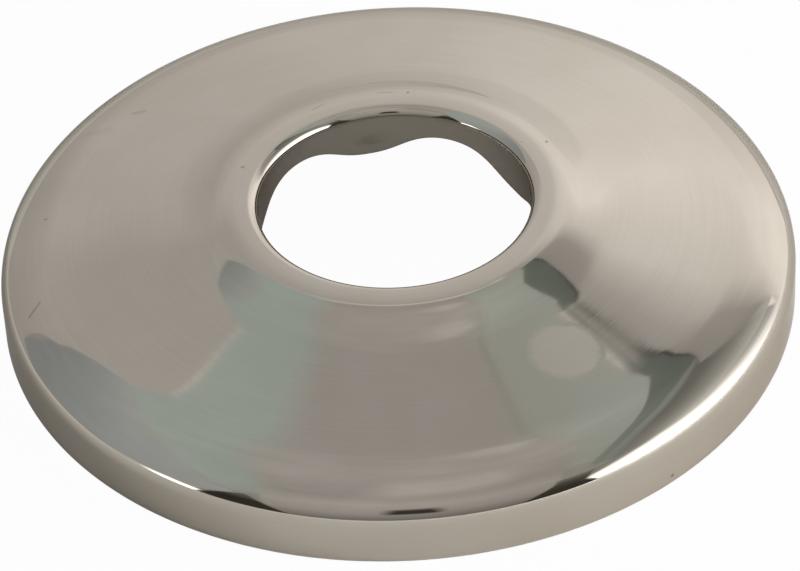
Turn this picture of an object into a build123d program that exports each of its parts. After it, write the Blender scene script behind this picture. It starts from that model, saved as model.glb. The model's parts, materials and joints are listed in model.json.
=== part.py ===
from build123d import *

import os
from math import cos, pi, radians, sin, tan

# Pipe escutcheon: one disc of sheet steel, pressed into a shallow bell, pierced in the middle and
# plated. Its skirt stands on the wall, and the edge of the hole is turned back under the bell as a
# short collar with a scalloped end, whose lobes centre it on the pipe.
# The origin is the centre of the wall face, and +Z runs along the pipe, away from the wall.
# Lengths are in millimetres and angles in degrees, and all are taken on the polished side.

sheet = 0.5  # thickness of the steel
outer_diameter = 63.5  # over the skirt
overall_height = 9.7  # from the wall to the land round the hole

pipe_diameter = 21.3  # half-inch iron pipe
pipe_clearance = 0.2  # on the radius, so that it slips on

skirt_height = 3.28  # straight part of the skirt
rim_radius = 2.2
shoulder_angle = 42.0  # slope of the shoulder, between the rim and the cone
shoulder_flat = 0.1  # straight part of the shoulder
shoulder_reach = 2.15  # of the bend between shoulder and cone, from its corner to either end

neck_angle = 22.0  # slope of the neck, between the land and the cone
neck_flat = 0.1  # straight part of the neck
neck_reach = 1.5  # of the bend between neck and cone, from its corner to either end

land_width = 0.92  # flat ring round the hole
land_radius = 5.6  # bend between the land and the neck
lip_inside_radius = 0.35  # bend from the land into the collar, on the hidden side

lobe_count = 5
collar_depth = 4.3  # from the land down to the tips of the lobes
scallop_height = 1.7  # from the tips of the lobes up to the roof of a scallop
roof_reach = 3.65  # how far the roof runs level before it turns down
tip_reach = 2.25  # how far the tip runs level before it turns up
cut_margin = 1.0  # by which the scallop cutter passes the collar on every side

outer_radius = outer_diameter / 2
bore_radius = pipe_diameter / 2 + pipe_clearance
lip_radius = lip_inside_radius + sheet
tip_height = overall_height - collar_depth


def reach(radius, turn):
    """How far a bend's ends lie from its sharp corner, for a turn in degrees."""
    return radius * tan(radians(turn) / 2)


def strip_section():
    """The sheet cut through on one side of the axis: corner points, bent round and given thickness."""
    rim_reach = reach(rim_radius, 90 - shoulder_angle)
    land_reach = reach(land_radius, neck_angle)
    rim = Vector(outer_radius, skirt_height + rim_reach)
    land_edge = Vector(bore_radius + lip_radius + land_width + land_reach, overall_height)
    up_shoulder = Vector(-1, 0).rotate(Axis.Z, -shoulder_angle)
    down_neck = Vector(1, 0).rotate(Axis.Z, -neck_angle)
    shoulder = rim + up_shoulder * (rim_reach + shoulder_flat + shoulder_reach)
    neck = land_edge + down_neck * (land_reach + neck_flat + neck_reach)
    cone = neck - shoulder
    shoulder_radius = shoulder_reach / tan(radians(up_shoulder.get_angle(cone)) / 2)
    neck_radius = neck_reach / tan(radians(down_neck.get_angle(-cone)) / 2)
    polished_side = FilletPolyline(
        (outer_radius, 0),
        rim,
        shoulder,
        neck,
        land_edge,
        (bore_radius, overall_height),
        (bore_radius, tip_height),
        radius=[rim_radius, shoulder_radius, neck_radius, land_radius, lip_radius],
    )
    outline = offset(polished_side, sheet, side=Side.LEFT)
    return Plane.XZ * make_face(outline)


def scallop_cutter():
    """One scallop of the collar's end, drawn looking out along +X and cut through the collar's wall."""
    half_width = bore_radius * sin(pi / lobe_count)
    roof_height = tip_height + scallop_height
    right_side = Bezier(
        (0, roof_height),
        (roof_reach, roof_height),
        (half_width - tip_reach, tip_height),
        (half_width, tip_height),
    )
    below = Polyline(
        (half_width, tip_height),
        (half_width, tip_height - cut_margin),
        (0, tip_height - cut_margin),
    )
    half = Curve() + [right_side, below]
    outline = half + mirror(half, about=Plane.YZ)
    looking_out = Plane(
        (bore_radius * cos(pi / lobe_count) - cut_margin, 0, 0), x_dir=(0, 1, 0), z_dir=(1, 0, 0)
    )
    return extrude(looking_out * make_face(outline), sheet + 4 * cut_margin)


def escutcheon():
    """The bell turned about the pipe's axis, with its collar scalloped. A lobe points along +Y."""
    bell = revolve(strip_section(), Axis.Z)
    first_scallop = 90 + 180 / lobe_count
    return bell - PolarLocations(0, lobe_count, first_scallop) * scallop_cutter()


os.makedirs("parts", exist_ok=True)
plate = escutcheon()
plate.label = "escutcheon"
export_step(plate, "parts/escutcheon.step")
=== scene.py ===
import json
import math

import bpy
from mathutils import Matrix, Vector


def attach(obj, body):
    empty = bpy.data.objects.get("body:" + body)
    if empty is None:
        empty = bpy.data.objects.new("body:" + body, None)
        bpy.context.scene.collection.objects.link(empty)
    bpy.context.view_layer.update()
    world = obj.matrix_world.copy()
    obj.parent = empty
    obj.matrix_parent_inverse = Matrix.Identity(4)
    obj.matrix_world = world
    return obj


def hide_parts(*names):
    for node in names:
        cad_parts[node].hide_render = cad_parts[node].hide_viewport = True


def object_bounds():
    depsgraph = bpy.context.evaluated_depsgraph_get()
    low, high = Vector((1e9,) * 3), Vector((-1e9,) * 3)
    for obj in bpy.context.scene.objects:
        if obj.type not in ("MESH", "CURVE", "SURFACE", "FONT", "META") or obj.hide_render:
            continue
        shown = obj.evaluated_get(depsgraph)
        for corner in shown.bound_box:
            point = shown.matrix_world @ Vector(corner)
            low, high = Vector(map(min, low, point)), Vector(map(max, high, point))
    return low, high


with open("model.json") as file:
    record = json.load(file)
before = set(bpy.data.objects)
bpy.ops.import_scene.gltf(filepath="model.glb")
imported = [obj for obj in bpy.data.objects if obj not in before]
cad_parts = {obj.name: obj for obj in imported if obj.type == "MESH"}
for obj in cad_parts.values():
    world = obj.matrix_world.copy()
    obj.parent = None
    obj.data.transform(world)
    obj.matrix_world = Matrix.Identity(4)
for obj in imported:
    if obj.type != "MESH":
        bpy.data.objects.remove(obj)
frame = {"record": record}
cadLow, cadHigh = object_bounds()
mm = 0.001
print("frame loaded, plate", round((cadHigh.x - cadLow.x) / mm, 2), "mm across")

scene = bpy.context.scene
scene.view_settings.view_transform = "Standard"
pipeBore = next(m for m in frame["record"]["mounts"] if m["name"] == "pipe_bore")

# the pressed plate: millimetres and degrees, all taken on the polished side
plate = {
    "outerRadius": (cadHigh.x - cadLow.x) / 2 / mm,
    "height": (cadHigh.z - cadLow.z) / mm,
    "boreRadius": pipeBore["dims"]["r_mm"],
    "sheet": 0.5,
    "skirtHeight": 3.28,
    "rimRadius": 2.2,
    "shoulderAngle": 42,
    "shoulderFlat": 0.1,
    "shoulderReach": 2.15,
    "neckAngle": 22,
    "neckFlat": 0.1,
    "neckReach": 1.5,
    "landWidth": 0.92,
    "landRadius": 5.6,
    "lipRadius": 0.85,
    "lobes": 5,
    "collarDepth": 4.3,
    "scallopHeight": 1.7,
    "roofReach": 3.65,
    "tipReach": 2.25,
    "edgeRound": 0.08,  # sheared edges, broken by tumbling
    "dish": (0.025, 21.5, 6.5),  # the cone's sag between its bends: depth, middle radius, half width
    "columns": 400,  # round the plate
    "bendStep": 3.0,  # degrees of bend from row to row
    "bendRows": 4,  # at least, in a slight bend
    "straightStep": 0.9,  # millimetres from row to row where it runs straight
    "collarRows": 9,
    "halvings": 30,  # steps in finding the scallops' height
}
polished, hidden, sheared = 0, 1, 2  # finishes, in the order of the material slots


def bendReach(radius, turn):
    return radius * math.tan(math.radians(turn) / 2)


def leftOf(way):
    return Vector((-way.y, way.x))


def sectionCorners(p):
    # sharp corners of the section from the foot to a lobe's tip, and the bend at each one between
    rimReach = bendReach(p["rimRadius"], 90 - p["shoulderAngle"])
    landReach = bendReach(p["landRadius"], p["neckAngle"])
    shoulderTilt = math.radians(p["shoulderAngle"])
    neckTilt = math.radians(p["neckAngle"])
    upShoulder = Vector((-math.cos(shoulderTilt), math.sin(shoulderTilt)))
    downNeck = Vector((math.cos(neckTilt), -math.sin(neckTilt)))
    landEdge = p["boreRadius"] + p["lipRadius"] + p["landWidth"] + landReach
    foot = Vector((p["outerRadius"], 0))
    rim = Vector((p["outerRadius"], p["skirtHeight"] + rimReach))
    land = Vector((landEdge, p["height"]))
    lip = Vector((p["boreRadius"], p["height"]))
    tip = Vector((p["boreRadius"], p["height"] - p["collarDepth"]))
    shoulder = rim + upShoulder * (rimReach + p["shoulderFlat"] + p["shoulderReach"])
    neck = land + downNeck * (landReach + p["neckFlat"] + p["neckReach"])
    cone = neck - shoulder
    shoulderRadius = p["shoulderReach"] / math.tan(upShoulder.angle(cone) / 2)
    neckRadius = p["neckReach"] / math.tan(downNeck.angle(-cone) / 2)
    bends = [p["rimRadius"], shoulderRadius, neckRadius, p["landRadius"], p["lipRadius"]]
    return [foot, rim, shoulder, neck, land, lip, tip], bends


def bentPath(p):
    # points along the polished side with their outward normals, from the foot to the end of the lip
    corners, bends = sectionCorners(p)
    path = []
    here = corners[0]
    for before, corner, after, radius in zip(corners, corners[1:], corners[2:], bends):
        goingIn = (corner - before).normalized()
        goingOut = (after - corner).normalized()
        turn = math.atan2(goingIn.cross(goingOut), goingIn.dot(goingOut))
        side = math.copysign(1, turn)
        setBack = radius * math.tan(abs(turn) / 2)
        start = corner - goingIn * setBack
        pieces = max(1, math.ceil((start - here).length / p["straightStep"]))
        path += [(here.lerp(start, i / pieces), -leftOf(goingIn)) for i in range(pieces)]
        centre = start + leftOf(goingIn) * side * radius
        pieces = max(p["bendRows"], math.ceil(math.degrees(abs(turn)) / p["bendStep"]))
        for i in range(pieces):
            way = Matrix.Rotation(turn * i / pieces, 2) @ goingIn
            path.append((centre - leftOf(way) * side * radius, -leftOf(way)))
        here = corner + goingOut * setBack
    path.append((here, -leftOf(goingOut)))
    depth, middle, half = p["dish"]
    sag = [depth * max(0, 1 - ((point.x - middle) / half) ** 2) ** 2 for point, normal in path]
    return [(point - Vector((0, s)), normal) for s, (point, normal) in zip(sag, path)]


def scallopRise(p, angle, radius):
    # how far the collar's end stands above the lobes' tips, at an angle from the lobe on +Y
    half = math.pi / p["lobes"]
    halfWidth = p["boreRadius"] * math.sin(half)
    fromRoof = angle % (2 * half) - half
    across = min(abs(radius * math.sin(fromRoof)), halfWidth)
    low, high = 0.0, 1.0
    # a Bezier from roof to tip, solved for its distance from the roof
    for halving in range(p["halvings"]):
        s = (low + high) / 2
        x = 3 * p["roofReach"] * s * (1 - s) ** 2 + 3 * (halfWidth - p["tipReach"]) * s * s * (1 - s)
        x += halfWidth * s**3
        if x < across:
            low = s
        else:
            high = s
    return p["scallopHeight"] * ((1 - s) ** 3 + 3 * s * (1 - s) ** 2)


def quarterTurn(radius, height, edge, start):
    # three points round a broken edge of the given radius, through 90 degrees
    turns = [math.radians(start + 45 * i) for i in range(3)]
    return [(radius + edge * math.cos(a), height + edge * math.sin(a)) for a in turns]


def plateRows(p):
    # the closed section as rows of radius, height at a lobe, share of the scallop's rise, finish
    path = bentPath(p)
    edge = p["edgeRound"]
    foot, inside = p["outerRadius"], p["outerRadius"] - p["sheet"]
    bore, back = p["boreRadius"], p["boreRadius"] + p["sheet"]
    tip = p["height"] - p["collarDepth"]
    top = path[-1][0].y
    shares = [i / p["collarRows"] for i in range(1, p["collarRows"])]
    collar = [(top + (tip + edge - top) * share, share) for share in shares]
    rows = [(r, z, 0, sheared) for r, z in quarterTurn(foot - edge, edge, edge, -90)]
    rows += [(point.x, point.y, 0, polished) for point, normal in path[1:]]
    rows += [(bore, z, share, polished) for z, share in collar]
    rows += [(r, z, 1, sheared) for r, z in quarterTurn(bore + edge, tip + edge, edge, 180)]
    rows += [(r, z, 1, sheared) for r, z in quarterTurn(back - edge, tip + edge, edge, -90)]
    rows += [(back, z, share, hidden) for z, share in reversed(collar)]
    under = [point - normal * p["sheet"] for point, normal in path]
    rows += [(point.x, point.y, 0, hidden) for point in reversed(under[1:])]
    rows += [(r, z, 0, sheared) for r, z in quarterTurn(inside + edge, edge, edge, 180)]
    return rows


def buildPlate(p):
    rows = plateRows(p)
    columns = p["columns"]
    angles = [2 * math.pi * c / columns for c in range(columns)]  # from +Y, towards -X
    rises = {}
    points = []
    for radius, height, share, finish in rows:
        if share and radius not in rises:
            rises[radius] = [scallopRise(p, angle, radius) for angle in angles]
        for c, angle in enumerate(angles):
            z = height + (share * rises[radius][c] if share else 0)
            points.append((-radius * math.sin(angle) * mm, radius * math.cos(angle) * mm, z * mm))
    faces = []
    finishes = []
    for r, row in enumerate(rows):
        n = (r + 1) % len(rows)
        for c in range(columns):
            d = (c + 1) % columns
            faces.append((r * columns + c, r * columns + d, n * columns + d, n * columns + c))
        both = (row[3], rows[n][3])
        finishes += [min(both)] * columns  # the sheared finish stays on the edges themselves
    mesh = bpy.data.meshes.new("escutcheonShell")
    mesh.from_pydata(points, [], faces)
    mesh.polygons.foreach_set("material_index", finishes)
    mesh.polygons.foreach_set("use_smooth", [True] * len(faces))
    mesh.update()
    piece = bpy.data.objects.new("escutcheonShell", mesh)
    scene.collection.objects.link(piece)
    return piece


shell = buildPlate(plate)
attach(shell, "root")
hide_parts("escutcheon")
print("plate pressed:", len(shell.data.polygons), "faces")


def addNode(tree, kind, inputs=None, **settings):
    node = tree.nodes.new(kind)
    for name, value in settings.items():
        setattr(node, name, value)
    for name, value in (inputs or {}).items():
        if isinstance(value, bpy.types.NodeSocket):
            tree.links.new(value, node.inputs[name])
        else:
            node.inputs[name].default_value = value
    return node


def maths(tree, operation, first, second=0.0, clamp=False):
    inputs = {0: first, 1: second}
    return addNode(tree, "ShaderNodeMath", inputs, operation=operation, use_clamp=clamp).outputs[0]


def vectorMaths(tree, operation, first, second=(0, 0, 0), give="Vector"):
    node = addNode(tree, "ShaderNodeVectorMath", {0: first, 1: second}, operation=operation)
    return node.outputs[give]


def scaled(tree, vector, share):
    node = addNode(tree, "ShaderNodeVectorMath", {0: vector, "Scale": share}, operation="SCALE")
    return node.outputs[0]


def remap(tree, value, fromLow, fromHigh, toLow, toHigh, steps="LINEAR"):
    inputs = {"Value": value, "From Min": fromLow, "From Max": fromHigh}
    inputs.update({"To Min": toLow, "To Max": toHigh})
    return addNode(tree, "ShaderNodeMapRange", inputs, interpolation_type=steps).outputs["Result"]


def blend(tree, share, first, second):
    return addNode(tree, "ShaderNodeMix", {0: share, 6: first, 7: second}, data_type="RGBA").outputs[2]


def noise(tree, place, scale, detail=2.0, rough=0.5):
    inputs = {"Vector": place, "Scale": scale, "Detail": detail, "Roughness": rough}
    return addNode(tree, "ShaderNodeTexNoise", inputs).outputs["Fac"]


def bump(tree, height, depth, under=None, sunk=False):
    # depth in metres, over the relief already there
    inputs = {"Height": height, "Distance": depth}
    if under is not None:
        inputs["Normal"] = under
    return addNode(tree, "ShaderNodeBump", inputs, invert=sunk).outputs[0]


def startMaterial(name):
    # gives place in millimetres
    material = bpy.data.materials.new(name)
    material.use_nodes = True
    tree = material.node_tree
    shader = tree.nodes["Principled BSDF"]
    shader.inputs["Metallic"].default_value = 1.0
    place = addNode(tree, "ShaderNodeTexCoord").outputs["Object"]
    return material, tree, shader, vectorMaths(tree, "MULTIPLY", place, (1 / mm, 1 / mm, 1 / mm))


def turnedPlace(tree, place, around, outwards):
    # coordinates that run round the axis slowly and outwards fast, with no seam
    flat = vectorMaths(tree, "MULTIPLY", place, (1, 1, 0))
    radius = vectorMaths(tree, "LENGTH", flat, give="Value")
    way = vectorMaths(tree, "NORMALIZE", flat)
    slow = scaled(tree, way, around)
    fast = maths(tree, "MULTIPLY", radius, outwards)
    height = addNode(tree, "ShaderNodeSeparateXYZ", {0: place}).outputs["Z"]
    fast = maths(tree, "ADD", fast, maths(tree, "MULTIPLY", height, outwards))
    lift = addNode(tree, "ShaderNodeCombineXYZ", {"Z": fast}).outputs[0]
    return vectorMaths(tree, "ADD", slow, lift)


# bright nickel over the polished side: a warm grey mirror, a little hazy where it has been handled
nickel = {
    "tone": (0.675, 0.624, 0.545, 1),
    "tarnish": (0.64, 0.588, 0.505, 1),
    "edgeTint": (0.76, 0.74, 0.71, 1),  # how bright it stays where it is seen along the surface
    "polish": 0.035,  # roughness where it is clean
    "haze": 0.03,  # added where it is handled
    "wave": 5e-6,  # metres, hand-polishing waves about 12 mm long
    "grain": 3.5e-7,  # metres, fine lines left by the buffing wheel
    "grainTone": 0.35,  # how far the lines move the tarnish
    "grainRoughness": 0.006,
    "grainRun": (2.0, 6.0),  # how fast the lines change round the plate and outwards
    "waveScale": 0.085,
    "cloudScale": 0.12,  # of the tarnish
    "fineScale": 1.1,
    "markTone": (0.20, 0.17, 0.14, 1),
    "markRoughness": 0.45,
    "markDepth": 2e-5,  # metres
    "raggedScale": 4.0,
    "ragged": 0.12,  # how far a scratch's edge wanders
    # scratches: two ends, then half width and depth of tone
    "scratches": [
        ((-29.97, -2.70), (-28.95, -1.84), 0.10, 0.5),
        ((-4.17, 12.40), (-2.99, 12.93), 0.07, 0.45),
        ((1.32, 13.30), (2.57, 12.93), 0.07, 0.45),
        ((-18.01, 19.14), (-17.1, 19.09), 0.2, 0.2),
        ((-22.33, 18.05), (-20.44, 17.64), 0.4, 0.07),
    ],
    # pits: middle, radius and depth of tone
    "pits": [
        ((3.75, 12.61, 9.67), 0.13, 0.5),
        ((13.23, 3.56, 9.60), 0.13, 0.55),
        ((11.20, 3.80, 9.55), 0.15, 0.5),
        ((-11.04, 6.44, 9.70), 0.15, 0.4),
        ((-27.05, 7.86, 6.56), 0.13, 0.5),
        ((15.44, -27.74, 0.73), 0.16, 0.6),
    ],
    # a dark spot on one lobe: middle, half length, depth of tone
    "smudge": ((0.3, 10.85, 6.8), 1.9, 0.3),
    "smudgeFlat": 2.2,  # times as long as it is high
    # where the polish is rubbed dull: middle, radius, roughness added
    "rubbed": ((9.2, -19.5, 7.75), 2.75, 0.42),
    "rubbedEdge": 0.12,
}


def markMask(tree, place, n):
    # how much of each scratch and pit covers a spot of the dome, seen along the axis
    flat = vectorMaths(tree, "MULTIPLY", place, (1, 1, 0))
    ragged = maths(tree, "MULTIPLY", noise(tree, place, n["raggedScale"]), n["ragged"])
    total = None
    for start, end, halfWidth, depth in n["scratches"]:
        run = Vector((end[0] - start[0], end[1] - start[1], 0))
        offset = vectorMaths(tree, "SUBTRACT", flat, (*start, 0))
        along = vectorMaths(tree, "DOT_PRODUCT", offset, run / run.length_squared, give="Value")
        along = maths(tree, "MULTIPLY", along, 1.0, clamp=True)
        gap = vectorMaths(tree, "DISTANCE", offset, scaled(tree, run, along), give="Value")
        gap = maths(tree, "ADD", gap, ragged)
        cover = remap(tree, gap, halfWidth * 0.5, halfWidth * 2.0, depth, 0.0, "SMOOTHSTEP")
        total = cover if total is None else maths(tree, "MAXIMUM", total, cover)
    for middle, radius, depth in n["pits"]:
        gap = vectorMaths(tree, "DISTANCE", place, middle, give="Value")
        cover = remap(tree, gap, radius * 0.5, radius * 1.5, depth, 0.0, "SMOOTHSTEP")
        total = maths(tree, "MAXIMUM", total, cover)
    return total


def makePolished(n):
    material, tree, shader, place = startMaterial("polishedNickel")
    clouds = noise(tree, place, n["cloudScale"], 4.0)
    fine = noise(tree, place, n["fineScale"], 3.0)
    grain = noise(tree, turnedPlace(tree, place, *n["grainRun"]), 1.0, 3.0, 0.6)
    waves = noise(tree, place, n["waveScale"], 1.0)
    marks = markMask(tree, place, n)
    middle, radius, depth = n["smudge"]
    offset = vectorMaths(tree, "SUBTRACT", place, middle)
    flattened = vectorMaths(tree, "MULTIPLY", offset, (1, 1, n["smudgeFlat"]))
    gap = vectorMaths(tree, "LENGTH", flattened, give="Value")
    smudge = remap(tree, gap, radius * 0.2, radius, depth, 0.0, "SMOOTHSTEP")
    smudge = maths(tree, "MULTIPLY", smudge, remap(tree, fine, 0.35, 0.6, 0.5, 1.0))

    lines = remap(tree, grain, 0.3, 0.7, -n["grainTone"], n["grainTone"])
    tarnish = maths(tree, "ADD", remap(tree, clouds, 0.35, 0.65, 0.0, 1.0), lines)
    tone = blend(tree, tarnish, n["tone"], n["tarnish"])
    dull = maths(tree, "MAXIMUM", marks, smudge)
    tree.links.new(blend(tree, dull, tone, n["markTone"]), shader.inputs["Base Color"])
    shader.inputs["Specular Tint"].default_value = n["edgeTint"]

    rough = remap(tree, clouds, 0.35, 0.7, n["polish"], n["polish"] + n["haze"])
    lines = remap(tree, grain, 0.3, 0.7, -n["grainRoughness"], n["grainRoughness"])
    rough = maths(tree, "ADD", rough, lines)
    rough = maths(tree, "ADD", rough, maths(tree, "MULTIPLY", dull, n["markRoughness"]))
    middle, radius, added = n["rubbed"]
    wander = remap(tree, fine, 0.3, 0.7, -n["rubbedEdge"], n["rubbedEdge"])
    gap = maths(tree, "ADD", vectorMaths(tree, "DISTANCE", place, middle, give="Value"), wander)
    rubbed = remap(tree, gap, radius * 0.75, radius * 1.15, added, 0.0, "SMOOTHSTEP")
    rough = maths(tree, "ADD", rough, rubbed)
    tree.links.new(rough, shader.inputs["Roughness"])

    lined = bump(tree, grain, n["grain"], bump(tree, waves, n["wave"]))
    pitted = bump(tree, marks, n["markDepth"], lined, sunk=True)
    tree.links.new(pitted, shader.inputs["Normal"])
    return material


# thinner, unpolished plate on the hollow side
hollowSide = {
    "tone": (0.60, 0.565, 0.50, 1),
    "stain": (0.47, 0.42, 0.35, 1),
    "roughness": (0.26, 0.42),
    "drawLines": 4e-6,  # metres, left by the press
    "drawRun": (3.0, 2.5),  # how fast the lines change round the plate and outwards
    "cloudScale": 0.2,
    "speckScale": 2.6,
}


def makeHollowSide(h):
    material, tree, shader, place = startMaterial("platedBack")
    clouds = noise(tree, place, h["cloudScale"], 6.0, 0.6)
    lines = noise(tree, turnedPlace(tree, place, *h["drawRun"]), 1.0, 4.0, 0.6)
    specks = remap(tree, noise(tree, place, h["speckScale"]), 0.66, 0.75, 0.0, 0.5)
    stain = maths(tree, "ADD", remap(tree, clouds, 0.45, 0.75, 0.0, 0.7), specks)
    tree.links.new(blend(tree, stain, h["tone"], h["stain"]), shader.inputs["Base Color"])
    mean = maths(tree, "MULTIPLY", maths(tree, "ADD", clouds, lines), 0.5)
    tree.links.new(remap(tree, mean, 0.35, 0.65, *h["roughness"]), shader.inputs["Roughness"])
    tree.links.new(bump(tree, lines, h["drawLines"]), shader.inputs["Normal"])
    return material


# sheared edges: bright where the punch cut, with fine upright tears
shearedEdge = {
    "tone": (0.70, 0.68, 0.64, 1),
    "torn": (0.50, 0.47, 0.43, 1),
    "roughness": (0.22, 0.4),
    "tearRun": (6, 6, 0.6),  # how fast the tears change across and upwards
    "tearDepth": 1e-5,  # metres
}


def makeSheared(s):
    material, tree, shader, place = startMaterial("shearedEdge")
    tears = noise(tree, vectorMaths(tree, "MULTIPLY", place, s["tearRun"]), 1.0, 3.0)
    tone = blend(tree, remap(tree, tears, 0.4, 0.7, 0.0, 1.0), s["tone"], s["torn"])
    tree.links.new(tone, shader.inputs["Base Color"])
    tree.links.new(remap(tree, tears, 0.3, 0.7, *s["roughness"]), shader.inputs["Roughness"])
    tree.links.new(bump(tree, tears, s["tearDepth"]), shader.inputs["Normal"])
    return material


for finish in (makePolished(nickel), makeHollowSide(hollowSide), makeSheared(shearedEdge)):
    shell.data.materials.append(finish)
print("finishes:", ", ".join(m.name for m in shell.data.materials))

# camera, in millimetres and degrees; the studio turns with its heading
camera = {
    "heading": -9.9,
    "elevation": 40.279,
    "roll": -3.129,
    "depth": 355.82,  # from the eye to the plate's origin, along the view
    "aside": (-0.055, -0.182),  # where that origin lies off the middle of the view
    "lens": 198.83,
    "sensor": 36.0,
    "nearest": 0.01,  # metres, what lies closer is not drawn
}


def headingTurn():
    return Matrix.Rotation(math.radians(camera["heading"]), 3, "Z")


def addCamera(c):
    tilt, roll = math.radians(c["elevation"]), math.radians(c["roll"])
    ahead = Vector((0, math.cos(tilt), -math.sin(tilt)))
    level = Vector((1, 0, 0))
    steep = level.cross(ahead)
    across = level * math.cos(roll) + steep * math.sin(roll)
    above = steep * math.cos(roll) - level * math.sin(roll)
    eye = -(across * c["aside"][0] + above * c["aside"][1] + ahead * c["depth"]) * mm
    turn = Matrix((across, above, -ahead)).transposed()
    data = bpy.data.cameras.new("camera")
    data.lens = c["lens"]
    data.sensor_width = c["sensor"]
    data.clip_start = c["nearest"]
    viewer = bpy.data.objects.new("camera", data)
    viewer.matrix_world = Matrix.Translation(headingTurn() @ eye) @ (headingTurn() @ turn).to_4x4()
    scene.collection.objects.link(viewer)
    scene.camera = viewer


addCamera(camera)
print("camera set at", camera["elevation"], "degrees")

# the studio: a tent of cloths round a pale floor, in metres
studio = {
    "tentRadius": 30.0,
    "layerStep": 0.3,  # each cloth hangs this far inside the one before
    "weave": 6,  # facets along each side of a cloth's quarter
    "foldScale": 0.3,
    "floorHalf": 4.0,
    "floorTone": (0.72, 0.70, 0.68, 1),
    "whiteSeen": 0.97,  # share of plain white in the floor as the camera sees it and as metal and glass show it, from the middle out to the reach: a painted glow, bright under the plate to light its hollow side in reflection, dim close round it, and painted brighter away from it
    # and as metal and glass show it, from the middle out to the reach: bright under the plate, for its
    # hollow side, dim close round it, and brighter away from it
    "whiteReach": 0.1,
    "whiteMirrored": ((0.18, 0.012), (0.21, 0.3), (0.28, 0.3),
                      (0.31, 0.022), (0.5, 0.022), (0.95, 0.35)),
    # brightness across the view, from -1 at the left to 1 at the right
    "backdrop": ((-0.9, 0.42), (-0.4, 0.50), (-0.15, 0.62), (0.0, 0.71),
                 (0.2, 0.9), (0.45, 1.05), (0.6, 1.12), (0.9, 1.22)),
    "backdropTint": (1.01, 0.99, 0.99),
}

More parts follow.
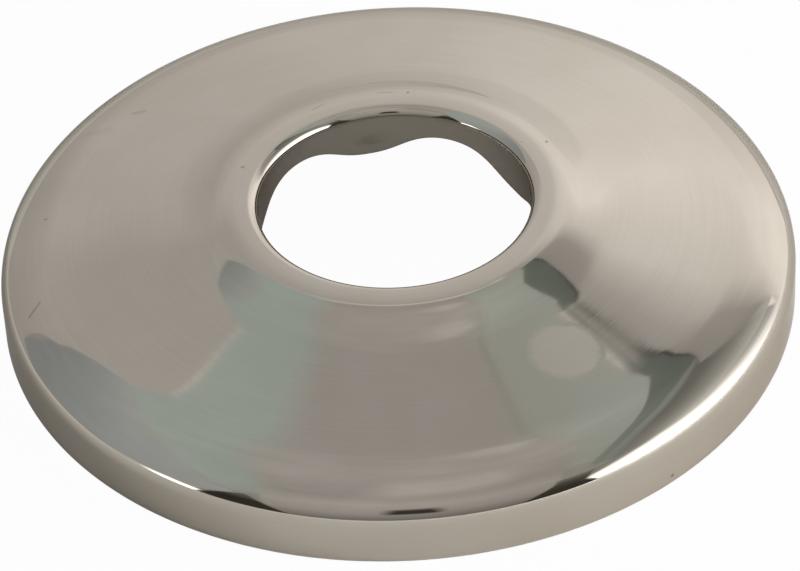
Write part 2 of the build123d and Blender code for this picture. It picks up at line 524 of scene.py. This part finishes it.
# each cloth is laid out from rows of corners, and a later one hangs in front of those before it.
# A corner is azimuth to the right of straight ahead, elevation, brightness, and cover (0 fades out).
cloths = [
    {
        "name": "tent",
        "tint": (1.015, 0.99, 0.995),
        "folds": 0.03,
        "rows": [
            [(-58, 13, 0.33, 1), (-49.6, 37.4, 0.36, 1), (-36.5, 46, 0.40, 1), (-25, 50.4, 0.43, 1),
             (-20.7, 53.1, 0.44, 1), (-10, 55.5, 0.52, 0), (0, 56, 0.55, 0), (10, 55.5, 0.52, 0),
             (20, 53.2, 0.44, 1), (28, 50.4, 0.40, 1), (49, 50.3, 0.36, 1), (61, 46.6, 0.34, 1),
             (59.5, 13, 0.45, 1)],
            [(-70, 16, 0.35, 1), (-62, 42, 0.40, 1), (-46, 52, 0.42, 1), (-28, 56.5, 0.43, 1),
             (-20, 58.5, 0.42, 1), (-10, 59, 0.40, 1), (0, 59.5, 0.40, 1), (10, 59, 0.40, 1),
             (19, 57.5, 0.42, 1), (34, 57, 0.42, 1), (58, 57, 0.40, 1), (72, 45, 0.36, 1),
             (70, 14, 0.45, 1)],
            [(-95, 20, 0.40, 1), (-95, 45, 0.44, 1), (-95, 60, 0.45, 1), (-95, 70, 0.45, 1),
             (-95, 78, 0.45, 1), (-90, 84, 0.45, 1), (0, 89, 0.46, 1), (90, 84, 0.47, 1),
             (95, 78, 0.47, 1), (95, 70, 0.46, 1), (95, 60, 0.44, 1), (95, 45, 0.40, 1),
             (95, 20, 0.45, 1)],
            [(-125, -1, 0.42, 1), (-135, -1, 0.3, 1), (-145, -1, 0.25, 1), (-155, -1, 0.2, 1),
             (-163, -1, 0.2, 1), (-172, -1, 0.2, 1), (180, -1, 0.2, 1), (172, -1, 0.2, 1),
             (163, -1, 0.2, 1), (155, -1, 0.2, 1), (145, -1, 0.2, 1), (135, -1, 0.2, 1),
             (125, -1, 0.3, 1)],
        ],
    },
    {
        "name": "frontCeiling",
        "tint": (1.015, 0.99, 0.995),
        "folds": 0.02,
        "rows": [
            [(95, 80, 0.47, 0), (125, 83, 0.48, 0), (160, 85, 0.48, 0), (200, 84, 0.47, 0),
             (220, 80, 0.46, 0)],
            [(108, 75, 0.48, 0), (128, 74, 0.52, 1), (155, 75, 0.53, 1), (186, 76, 0.53, 1),
             (208, 73, 0.47, 0)],
            [(120, 68, 0.47, 0), (138, 66, 0.52, 1), (158, 66, 0.52, 1), (186, 66, 0.52, 1),
             (207, 65, 0.46, 0)],
            [(128, 59, 0.46, 0), (142, 57, 0.48, 0), (160, 57, 0.48, 0), (186, 57, 0.48, 0),
             (206, 56, 0.46, 0)],
        ],
    },
    {
        "name": "frontWall",
        "tint": (1.02, 0.99, 0.99),
        "folds": 0.02,
        "rows": [
            [(125, 55, 0.46, 0), (152, 61, 0.48, 0), (180, 64, 0.48, 0), (208, 61, 0.48, 0),
             (235, 55, 0.46, 0)],
            [(132, 48, 0.44, 1), (157, 53, 0.48, 1), (180, 55, 0.49, 1), (204, 54, 0.48, 1),
             (228, 48, 0.46, 1)],
            [(141, 25, 0.38, 1), (160, 25, 0.37, 1), (180, 25, 0.37, 1), (200, 25, 0.38, 1),
             (219, 25, 0.39, 1)],
            [(150, -1, 0.17, 1), (165, -1, 0.18, 1), (180, -1, 0.18, 1), (195, -1, 0.18, 1),
             (210, -1, 0.18, 1)],
        ],
    },
    {
        "name": "leftWall",
        "tint": (0.92, 1.01, 1.07),
        "folds": 0.02,
        "rows": [
            [(-58, 13, 0.31, 1), (-56, 25.5, 0.31, 1), (-49.6, 37.4, 0.315, 1),
             (-42, 43.7, 0.33, 1), (-36.5, 46, 0.35, 1), (-30.5, 48.3, 0.38, 1),
             (-25, 50.3, 0.42, 1), (-22.8, 51.3, 0.43, 0)],
            [(-70, -2, 0.33, 1), (-72, 15, 0.33, 1), (-70, 30, 0.335, 1), (-62, 41, 0.35, 1),
             (-54, 46, 0.37, 1), (-45, 49.5, 0.39, 1), (-34, 51.8, 0.43, 0.8),
             (-27, 53.5, 0.45, 0)],
            [(-95, -2, 0.37, 1), (-95, 12, 0.39, 1), (-95, 25, 0.41, 1), (-92, 36, 0.42, 1),
             (-86, 42, 0.43, 1), (-78, 47, 0.43, 1), (-64, 51.5, 0.44, 0.7), (-54, 57, 0.46, 0)],
            [(-124, -2, 0.42, 1), (-124, 10, 0.44, 1), (-127, 22, 0.46, 1), (-131, 36, 0.47, 1),
             (-126, 40, 0.47, 1), (-116, 43, 0.46, 0.9), (-104, 48, 0.46, 0.6), (-95, 55, 0.46, 0)],
        ],
    },
    {
        "name": "leftDrape",
        "tint": (0.894, 1.06, 1.046),
        "folds": 0.02,
        "rows": [
            [(-25, 50.3, 0.44, 1), (-22.8, 51.3, 0.45, 1), (-21.5, 52.3, 0.46, 1),
             (-20.6, 53.0, 0.46, 1), (-18.5, 53.7, 0.46, 1), (-13, 54.8, 0.46, 0)],
            [(-30, 51, 0.44, 0.3), (-27, 53, 0.46, 1), (-25, 55, 0.46, 1), (-21, 56.5, 0.46, 1),
             (-15, 58, 0.455, 1), (-10.5, 58.8, 0.44, 0)],
            [(-42, 51.5, 0.44, 0), (-40, 55.5, 0.465, 1), (-37, 59, 0.465, 1),
             (-32, 61.5, 0.465, 1), (-26, 62.8, 0.46, 1), (-17, 63.5, 0.45, 0)],
            [(-60, 51.5, 0.45, 0), (-58, 56, 0.465, 1), (-57, 60, 0.465, 1), (-55, 63.5, 0.465, 1),
             (-50, 66.5, 0.46, 1), (-40, 70.5, 0.45, 0)],
            [(-80, 50.5, 0.46, 0), (-78, 55, 0.47, 1), (-77, 59, 0.465, 1), (-77, 63, 0.465, 1),
             (-76, 67, 0.46, 1), (-75, 72.5, 0.45, 0)],
            [(-97, 47.5, 0.46, 0), (-97, 52.5, 0.47, 1), (-98, 56, 0.465, 1), (-98, 60, 0.46, 1),
             (-99, 63.5, 0.455, 1), (-103, 69.5, 0.45, 0)],
            [(-112, 42.5, 0.46, 0), (-113, 47.5, 0.47, 1), (-114, 51, 0.46, 1),
             (-115, 54.5, 0.46, 1), (-116, 58, 0.45, 1), (-122, 63, 0.45, 0)],
            [(-125, 38, 0.46, 0), (-127, 42, 0.46, 0.6), (-128, 45, 0.46, 0.6),
             (-130, 48, 0.45, 0.6), (-132, 50, 0.45, 0.5), (-138, 54, 0.45, 0)],
        ],
    },
    {
        "name": "rightPanel",
        "tint": (0.95, 1.04, 1.015),
        "folds": 0.02,
        "rows": [
            [(14.5, 54.8, 0.44, 0), (17.5, 54, 0.45, 1), (20.5, 53.35, 0.42, 1)],
            [(11.3, 58.3, 0.42, 0), (13.5, 58.0, 0.41, 1), (23.5, 53.2, 0.44, 1)],
            [(16, 63.5, 0.44, 0), (19.5, 62, 0.44, 1), (31, 55.5, 0.44, 1)],
            [(36, 70, 0.46, 0), (40, 67, 0.48, 1), (50, 58.5, 0.45, 1)],
            [(66, 72.5, 0.46, 0), (64, 69.5, 0.47, 1), (68, 58.5, 0.43, 1)],
            [(92, 69.5, 0.46, 0), (87, 66.5, 0.44, 1), (86, 57.2, 0.43, 1)],
            [(111, 62.5, 0.46, 0), (106, 60, 0.43, 1), (103, 54.3, 0.43, 1)],
            [(126, 54, 0.45, 0), (121, 52, 0.43, 1), (119, 49, 0.42, 1)],
        ],
    },
    {
        "name": "ceilingPatch",
        "tint": (1.01, 0.99, 1.0),
        "folds": 0.02,
        "rows": [
            [(2, 66, 0.5, 0), (15, 65, 0.5, 0), (24, 65.8, 0.5, 0), (34, 68, 0.5, 0)],
            [(2, 69, 0.5, 0), (17, 68.5, 0.54, 1), (27, 69, 0.54, 1), (40, 70.5, 0.5, 0)],
            [(4, 74, 0.5, 0), (20, 73, 0.54, 1), (32, 73, 0.54, 1), (50, 73, 0.5, 0)],
            [(10, 80, 0.5, 0), (30, 79, 0.5, 0), (45, 78, 0.5, 0), (64, 76, 0.5, 0)],
        ],
    },
    {
        "name": "ceilingSeam",
        "tint": (0.94, 1.04, 1.01),
        "folds": 0.0,
        "rows": [
            [(10.9, 58.4, 0.40, 0), (11.5, 59.4, 0.38, 0), (13.2, 61, 0.40, 0), (23, 66.3, 0.42, 0),
             (50, 71.6, 0.43, 0)],
            [(11.4, 58.2, 0.30, 1), (12.0, 59.2, 0.29, 1), (13.8, 60.7, 0.33, 0.8),
             (24, 65.9, 0.40, 0.6), (51, 71, 0.42, 0.3)],
            [(12.0, 58.0, 0.36, 0), (12.6, 59, 0.36, 0), (14.6, 60.4, 0.38, 0), (25, 65.4, 0.42, 0),
             (52, 70.3, 0.43, 0)],
        ],
    },
    {
        "name": "rightDrape",
        "tint": (0.925, 1.07, 1.0),
        "folds": 0.02,
        "rows": [
            [(20.45, 52.5, 0.20, 0), (20.75, 52.0, 0.17, 0.9), (21.2, 51.35, 0.16, 1),
             (22.3, 50.4, 0.15, 1), (28, 51.0, 0.15, 1), (38, 51.1, 0.16, 1), (49, 50.5, 0.17, 1),
             (56, 51.5, 0.19, 1), (65, 52.6, 0.21, 1), (79, 53.3, 0.22, 1), (94, 53, 0.23, 1),
             (108, 50, 0.25, 1), (121, 45.5, 0.27, 1)],
            [(20.3, 53.3, 0.21, 0), (20.55, 53.1, 0.20, 0.9), (21.2, 52.9, 0.19, 1),
             (24, 53.4, 0.19, 1), (30, 55.2, 0.19, 1), (38, 57, 0.19, 1), (50, 58.4, 0.19, 1),
             (60, 58.7, 0.20, 1), (72, 58.3, 0.23, 1), (86, 57.2, 0.26, 1), (100, 55.2, 0.28, 1),
             (111, 52, 0.30, 1), (121, 48.3, 0.32, 1)],
        ],
    },
    {
        "name": "rightHem",
        "tint": (0.95, 1.04, 0.99),
        "folds": 0.0,
        "rows": [
            [(49, 50.1, 0.16, 0.6), (56, 49.2, 0.18, 1), (65, 49.3, 0.17, 1), (76, 49.2, 0.18, 1),
             (88, 49.5, 0.22, 1), (101, 47.8, 0.25, 1), (116, 43, 0.28, 1)],
            [(49.5, 50.4, 0.22, 0.6), (56, 51, 0.28, 1), (65, 51.4, 0.30, 1), (78, 51.6, 0.31, 1),
             (92, 51.4, 0.31, 1), (105, 49.2, 0.31, 1), (119, 44.5, 0.31, 1)],
            [(49.8, 50.6, 0.2, 0.4), (56, 52.2, 0.26, 0.8), (65, 53.2, 0.28, 0.8),
             (79, 53.8, 0.28, 0.8), (94, 53.2, 0.28, 0.8), (108, 50.2, 0.29, 0.8),
             (121, 45.7, 0.30, 0.8)],
        ],
    },
    {
        "name": "rightWall",
        "tint": (0.99, 1.01, 0.995),
        "folds": 0.0,
        "rows": [
            [(52, 49.8, 0.14, 0.9), (56, 49.2, 0.16, 1), (65, 49.3, 0.19, 1), (76, 49.2, 0.18, 1),
             (88, 49.5, 0.19, 1), (101, 47.8, 0.22, 1), (116, 43, 0.26, 1), (126, 37, 0.28, 1)],
            [(57, 45, 0.25, 0.9), (62, 45.5, 0.19, 1), (68, 45.5, 0.20, 1), (78, 44.5, 0.23, 1),
             (89, 44, 0.26, 1), (101, 43, 0.29, 1), (114, 39.5, 0.33, 1), (125, 33, 0.36, 1)],
            [(56, 31, 0.32, 0.9), (63, 34, 0.34, 1), (70, 36, 0.36, 1), (80, 38, 0.38, 1),
             (90, 39, 0.40, 1), (101, 39.5, 0.42, 1), (112, 36.5, 0.44, 1), (124, 30, 0.46, 1)],
            [(56, 17, 0.60, 0.9), (64, 22, 0.62, 1), (72, 27, 0.62, 1), (81, 31.5, 0.62, 1),
             (91, 34.5, 0.62, 1), (101, 36, 0.62, 1), (111, 33.5, 0.62, 1), (123, 26, 0.62, 1)],
        ],
    },
    {
        "name": "backdropFoot",
        "tint": (1.01, 0.99, 0.99),
        "folds": 0.0,
        "rows": [
            [(-25, 18, 0.48, 0), (-6, 18, 0.60, 0), (0, 17.2, 0.67, 0), (8, 19.8, 0.78, 0),
             (20, 24, 0.87, 0), (40, 18, 0.98, 0)],
            [(-25, 13, 0.47, 0), (-6, 15, 0.59, 0.6), (0, 14.5, 0.65, 0.6), (8, 17, 0.74, 0.7),
             (20, 20, 0.83, 0.7), (40, 13, 0.93, 0)],
            [(-25, -1, 0.44, 0), (-6, -1, 0.57, 0.6), (0, -1, 0.63, 0.6), (8, -1, 0.71, 0.7),
             (20, -1, 0.79, 0.7), (40, -1, 0.88, 0)],
        ],
    },
    {
        "name": "leftShade",
        "tint": (1.01, 0.99, 0.99),
        "folds": 0.0,
        "rows": [
            [(-40, 28, 0.49, 0), (-20, 32, 0.52, 0), (-6, 34, 0.56, 0), (4, 36, 0.62, 0),
             (12, 38, 0.70, 0)],
            [(-38, 36, 0.475, 1), (-20, 39, 0.48, 1), (-6, 40.5, 0.53, 1), (3, 42, 0.585, 1),
             (12, 46, 0.58, 0.6)],
            [(-36, 45.5, 0.465, 1), (-21, 52.5, 0.465, 1), (-8, 55.5, 0.47, 1), (3, 56, 0.47, 1),
             (14, 55, 0.45, 1)],
        ],
    },
    {
        "name": "fold",
        "tint": (1.01, 0.99, 0.99),
        "folds": 0.0,
        "rows": [
            [(0, 18, 0.72, 0), (12, 18, 0.86, 0), (20, 18, 0.95, 0), (21.5, 18, 0.955, 0),
             (28, 17, 1.0, 0), (36, 15, 1.08, 0), (44, 11, 1.12, 0), (50, 7, 1.15, 0),
             (60, 2, 1.1, 0)],
            [(2, 33, 0.9, 0), (12, 32, 0.96, 1), (20, 32, 1.02, 1), (21.5, 32, 1.02, 1),
             (28, 32, 1.04, 1), (36, 30, 1.04, 1), (44, 27, 1.03, 1), (51.5, 19, 1.03, 1),
             (59, 13, 0.9, 1)],
            [(4, 41, 0.75, 0), (12, 42, 0.8, 1), (20, 43.6, 0.8, 1), (21.5, 43.2, 0.8, 1),
             (28, 41, 0.8, 1), (36, 38.5, 0.8, 1), (44, 33.8, 0.8, 1), (52.5, 24, 0.8, 1),
             (57.5, 17.5, 0.8, 1)],
            [(6, 46, 0.58, 0), (12, 46, 0.6, 1), (20.2, 46.9, 0.63, 1), (21.5, 46.3, 0.63, 1),
             (28, 44, 0.61, 1), (36, 41.8, 0.6, 1), (44, 38.2, 0.6, 1), (53.5, 28.5, 0.6, 1),
             (57, 21, 0.6, 1)],
            [(8, 50.5, 0.45, 0), (13, 50.5, 0.43, 1), (20.2, 50.2, 0.45, 1), (21.5, 48.6, 0.48, 1),
             (28, 46.3, 0.44, 1), (36, 44.6, 0.42, 1), (44, 42, 0.42, 1), (53, 35, 0.41, 1),
             (57.5, 25, 0.41, 1)],
            [(12, 54, 0.44, 0), (18, 53.8, 0.42, 1), (20.2, 52.95, 0.40, 1), (21.2, 51.35, 0.40, 1),
             (22.4, 50.35, 0.37, 1), (30.3, 51.4, 0.36, 1), (47, 50.6, 0.35, 1),
             (58.5, 48.6, 0.34, 1), (60, 37, 0.33, 1)],
        ],
    },
    {
        "name": "drapeCord",
        "tint": (1.0, 1.0, 0.95),
        "folds": 0.0,
        "rows": [
            [(20.5, 52.35, 0.12, 0), (20.7, 51.95, 0.05, 1), (21.15, 51.3, 0.04, 1),
             (21.7, 50.7, 0.04, 1), (22.4, 50.2, 0.04, 1), (26, 50.7, 0.04, 1),
             (30.3, 51.2, 0.04, 1), (43, 51.0, 0.06, 1), (50, 50.0, 0.12, 0.7),
             (58, 48.4, 0.16, 0.4)],
            [(20.55, 52.5, 0.12, 0), (20.8, 52.2, 0.05, 1), (21.25, 51.6, 0.04, 1),
             (21.8, 51.05, 0.04, 1), (22.5, 50.6, 0.04, 1), (26, 51.1, 0.04, 1),
             (30.3, 51.6, 0.04, 1), (43, 51.4, 0.06, 1), (50.2, 50.4, 0.12, 0.7),
             (58.2, 48.8, 0.16, 0.4)],
        ],
    },
    {
        "name": "foldCorner",
        "tint": (1.01, 0.99, 0.98),
        "folds": 0.0,
        "rows": [
            [(20.35, 51.2, 0.42, 0), (20.75, 51.2, 0.42, 0), (21.2, 51.2, 0.42, 0),
             (21.45, 51.2, 0.42, 0)],
            [(20.3, 51.6, 0.42, 0), (20.6, 51.6, 0.42, 1), (21.05, 51.5, 0.42, 1),
             (21.35, 51.4, 0.42, 0)],
            [(20.2, 52.15, 0.42, 0), (20.5, 52.15, 0.42, 1), (20.95, 52.1, 0.42, 1),
             (21.2, 52.1, 0.42, 0)],
            [(20.1, 52.6, 0.42, 0), (20.4, 52.5, 0.42, 0), (20.85, 52.4, 0.42, 0),
             (21.1, 52.4, 0.42, 0)],
        ],
    },
    {
        "name": "softbox",
        "tint": (0.99, 1.0, 1.02),
        "folds": 0.0,
        "rows": [
            [(57, 18, 0.6, 0), (64, 23, 0.6, 0), (80, 33.5, 0.6, 0), (95, 38.5, 0.6, 0),
             (104, 40.5, 0.6, 0), (116, 37.5, 0.6, 0), (126, 30, 0.6, 0), (133, 24, 0.6, 0),
             (137, 16, 0.6, 0)],
            [(58, 9, 1.0, 0.8), (66, 17, 1.1, 1), (82, 28, 1.3, 1), (95, 32.5, 1.4, 1),
             (104, 35, 1.5, 1), (114, 33, 1.5, 1), (124, 27, 1.5, 1), (130, 22, 1.5, 1),
             (135, 14, 1.5, 1)],
            [(60, 3, 1.1, 1), (70, 9, 1.5, 1), (84, 18, 2.2, 1), (95, 21, 2.4, 1),
             (104, 22, 2.4, 1), (113, 21, 2.4, 1), (121, 17, 2.4, 1), (128, 13, 2.2, 1),
             (133, 8, 2.0, 1)],
            [(60.5, 1.5, 1.1, 1), (71, 5, 1.8, 1), (84, 8, 2.6, 1), (95, 9, 2.6, 1),
             (104, 9, 2.6, 1), (112, 9, 2.6, 1), (120, 8, 2.6, 1), (127, 6, 2.4, 1),
             (132.5, 4, 2.2, 1)],
            [(61, -1, 0.9, 1), (74, -1, 1.0, 1), (85, -1, 1.2, 1), (95, -1, 1.2, 1),
             (104, -1, 1.2, 1), (112, -1, 1.2, 1), (119, -1, 1.2, 1), (126, -1, 1.1, 1),
             (132, -1, 1.0, 1)],
        ],
    },
    {
        "name": "leftGap",
        "tint": (1.0, 0.95, 0.85),
        "folds": 0.0,
        "rows": [
            [(-130.5, 41, 0.05, 0.6), (-128, 20, 0.03, 1), (-125, -1, 0.03, 1)],
            [(-132, 40, 0.05, 0.6), (-141, 22, 0.04, 1), (-150, -1, 0.05, 1)],
        ],
    },
    {
        "name": "rightGap",
        "tint": (1.0, 0.93, 0.85),
        "folds": 0.0,
        "rows": [
            [(136, 43, 0.1, 0.5), (141, 30, 0.08, 1), (147, 16, 0.05, 1), (153, -1, 0.05, 1)],
            [(125, 39, 0.2, 0.5), (130, 30, 0.12, 1), (134, 17, 0.05, 1), (132, -1, 0.03, 1)],
        ],
    },
    {
        "name": "peephole",
        "tint": (1.0, 0.93, 0.86),
        "folds": 0.0,
        "rows": [
            [(170, 45, 0.06, 0), (175, 45, 0.06, 0), (184, 45, 0.06, 0), (189, 45, 0.06, 0)],
            [(170, 37, 0.06, 0), (175, 37, 0.06, 1), (184, 37, 0.06, 1), (189, 37, 0.06, 0)],
            [(170, 26, 0.04, 0), (174, 26, 0.04, 1), (185, 26, 0.04, 1), (189, 26, 0.04, 0)],
            [(170, 20, 0.04, 0), (174, 20, 0.04, 0), (185, 20, 0.04, 0), (189, 20, 0.04, 0)],
        ],
    },
    {
        "name": "lamp",
        "tint": (1.0, 1.0, 1.02),
        "folds": 0.0,
        "rows": [
            [(-96, 6, 0.45, 0), (-108, 7, 0.6, 0), (-117, 10, 1.5, 0), (-126, 10, 1.5, 0)],
            [(-96, 3, 0.45, 0.5), (-108, 4, 0.62, 1), (-116, 6, 3.0, 1), (-125, 5, 3.0, 1)],
            [(-96, -1, 0.45, 0.5), (-108, -1, 0.62, 1), (-115, -1, 3.0, 1), (-124, -1, 3.0, 1)],
        ],
    },
]


def towards(azimuth, elevation):
    a, e = math.radians(azimuth), math.radians(elevation)
    return headingTurn() @ Vector((math.sin(a) * math.cos(e), math.cos(a) * math.cos(e), math.sin(e)))


def layCloth(cloth, radius, weave):
    # each quarter between four corners is woven finer, on a sphere round the plate
    points, levels, covers, faces = [], [], [], []
    corners = [[(towards(a, e), level, cover) for a, e, level, cover in row] for row in cloth["rows"]]
    for upper, lower in zip(corners, corners[1:]):
        for quarter in zip(upper, upper[1:], lower, lower[1:]):
            first = len(points)
            for i in range(weave + 1):
                for j in range(weave + 1):
                    s, t = i / weave, j / weave
                    shares = ((1 - s) * (1 - t), (1 - s) * t, s * (1 - t), s * t)
                    way = sum((share * corner[0] for share, corner in zip(shares, quarter)), Vector())
                    points.append(way.normalized() * radius)
                    levels.append(sum(share * corner[1] for share, corner in zip(shares, quarter)))
                    covers.append(sum(share * corner[2] for share, corner in zip(shares, quarter)))
            for i in range(weave):
                for j in range(weave):
                    a = first + i * (weave + 1) + j
                    faces.append((a, a + 1, a + weave + 2, a + weave + 1))
    mesh = bpy.data.meshes.new(cloth["name"])
    mesh.from_pydata(points, [], faces)
    mesh.attributes.new("level", "FLOAT", "POINT").data.foreach_set("value", levels)
    mesh.attributes.new("cover", "FLOAT", "POINT").data.foreach_set("value", covers)
    return mesh


def clothMaterial(cloth, foldScale):
    material = bpy.data.materials.new(cloth["name"])
    material.use_nodes = True
    tree = material.node_tree
    tree.nodes.clear()
    strength = addNode(tree, "ShaderNodeAttribute", attribute_name="level").outputs["Fac"]
    if cloth["folds"]:
        place = addNode(tree, "ShaderNodeTexCoord").outputs["Object"]
        depth = cloth["folds"]
        folds = remap(tree, noise(tree, place, foldScale, 1.0), 0.3, 0.7, 1 - depth, 1 + depth)
        strength = maths(tree, "MULTIPLY", strength, folds)
    glow = addNode(tree, "ShaderNodeEmission", {"Color": (*cloth["tint"], 1), "Strength": strength})
    surface = glow.outputs[0]
    if min(corner[3] for row in cloth["rows"] for corner in row) < 1:
        cover = addNode(tree, "ShaderNodeAttribute", attribute_name="cover").outputs["Fac"]
        clear = addNode(tree, "ShaderNodeBsdfTransparent").outputs[0]
        surface = addNode(tree, "ShaderNodeMixShader", {0: cover, 1: clear, 2: surface}).outputs[0]
    addNode(tree, "ShaderNodeOutputMaterial", {"Surface": surface})
    return material


def hangCloths(s):
    for layer, cloth in enumerate(cloths):
        mesh = layCloth(cloth, s["tentRadius"] - layer * s["layerStep"], s["weave"])
        mesh.materials.append(clothMaterial(cloth, s["foldScale"]))
        hung = bpy.data.objects.new(cloth["name"], mesh)
        hung.visible_camera = False
        scene.collection.objects.link(hung)


def setStops(ramp, stops, tint):
    # a colour ramp's stops, as pairs of place and brightness
    elements = ramp.color_ramp.elements
    while len(elements) < len(stops):
        elements.new(0.5)
    for element, (place, level) in zip(elements, stops):
        element.position = place
        element.color = (*(level * part for part in tint), 1)


def layFloor(s):
    h = s["floorHalf"]
    mesh = bpy.data.meshes.new("floor")
    mesh.from_pydata([(-h, -h, 0), (h, -h, 0), (h, h, 0), (-h, h, 0)], [], [(0, 1, 2, 3)])
    material = bpy.data.materials.new("paleFloor")
    material.use_nodes = True
    tree = material.node_tree
    tree.nodes.clear()
    ray = addNode(tree, "ShaderNodeLightPath").outputs
    mirrored = maths(tree, "MAXIMUM", ray["Is Glossy Ray"], ray["Is Transmission Ray"])
    place = addNode(tree, "ShaderNodeTexCoord").outputs["Object"]
    away = vectorMaths(tree, "LENGTH", place, give="Value")
    reached = remap(tree, away, 0.0, s["whiteReach"], 0.0, 1.0)
    # painted glow: the floor shines white to glossy rays only, in a ring under the plate and away from
    # it
    paintedGlow = addNode(tree, "ShaderNodeValToRGB", {"Fac": reached})
    setStops(paintedGlow, s["whiteMirrored"], (1, 1, 1))
    share = maths(tree, "MULTIPLY", mirrored, paintedGlow.outputs["Color"])
    share = maths(tree, "ADD", share, maths(tree, "MULTIPLY", ray["Is Camera Ray"], s["whiteSeen"]))
    paper = addNode(tree, "ShaderNodeBsdfDiffuse", {"Color": s["floorTone"]})
    white = addNode(tree, "ShaderNodeEmission", {"Strength": 1.0})
    lit = addNode(tree, "ShaderNodeMixShader", {0: share, 1: paper.outputs[0], 2: white.outputs[0]})
    below = addNode(tree, "ShaderNodeNewGeometry").outputs["Backfacing"]
    clear = addNode(tree, "ShaderNodeBsdfTransparent")
    seen = addNode(tree, "ShaderNodeMixShader", {0: below, 1: lit.outputs[0], 2: clear.outputs[0]})
    addNode(tree, "ShaderNodeOutputMaterial", {"Surface": seen.outputs[0]})
    mesh.materials.append(material)
    floor = bpy.data.objects.new("floor", mesh)
    scene.collection.objects.link(floor)


# a low lamp beside the plate, which lights the floor from the right
sideLamp = {
    "azimuth": 112,
    "elevation": 18,
    "distance": 0.24,
    "size": (0.16, 0.08),
    "power": 0.58,
}


def addSideLamp(p):
    data = bpy.data.lights.new("sideLamp", "AREA")
    data.shape = "RECTANGLE"
    data.size, data.size_y = p["size"]
    data.energy = p["power"]
    lamp = bpy.data.objects.new("sideLamp", data)
    lamp.location = towards(p["azimuth"], p["elevation"]) * p["distance"]
    lamp.rotation_euler = lamp.location.to_track_quat("Z", "Y").to_euler()
    lamp.visible_camera = False
    lamp.visible_glossy = False  # the softbox is what the metal shows
    scene.collection.objects.link(lamp)


def lightBackdrop(s):
    world = bpy.data.worlds.new("backdrop")
    scene.world = world
    world.use_nodes = True
    tree = world.node_tree
    tree.nodes.clear()
    way = addNode(tree, "ShaderNodeTexCoord").outputs["Generated"]
    turn = {"Vector": way, "Angle": math.radians(-camera["heading"])}
    turned = addNode(tree, "ShaderNodeVectorRotate", turn, rotation_type="Z_AXIS").outputs[0]
    across = addNode(tree, "ShaderNodeSeparateXYZ", {0: turned}).outputs["X"]
    ramp = addNode(tree, "ShaderNodeValToRGB", {"Fac": remap(tree, across, -1.0, 1.0, 0.0, 1.0)})
    setStops(ramp, [((place + 1) / 2, level) for place, level in s["backdrop"]], s["backdropTint"])
    seen = addNode(tree, "ShaderNodeLightPath").outputs["Is Camera Ray"]
    tone = blend(tree, seen, ramp.outputs["Color"], (1, 1, 1, 1))
    glow = addNode(tree, "ShaderNodeBackground", {"Color": tone, "Strength": 1.0})
    addNode(tree, "ShaderNodeOutputWorld", {"Surface": glow.outputs[0]})


hangCloths(studio)
layFloor(studio)
addSideLamp(sideLamp)
lightBackdrop(studio)
print("studio lit:", len(cloths), "cloths")
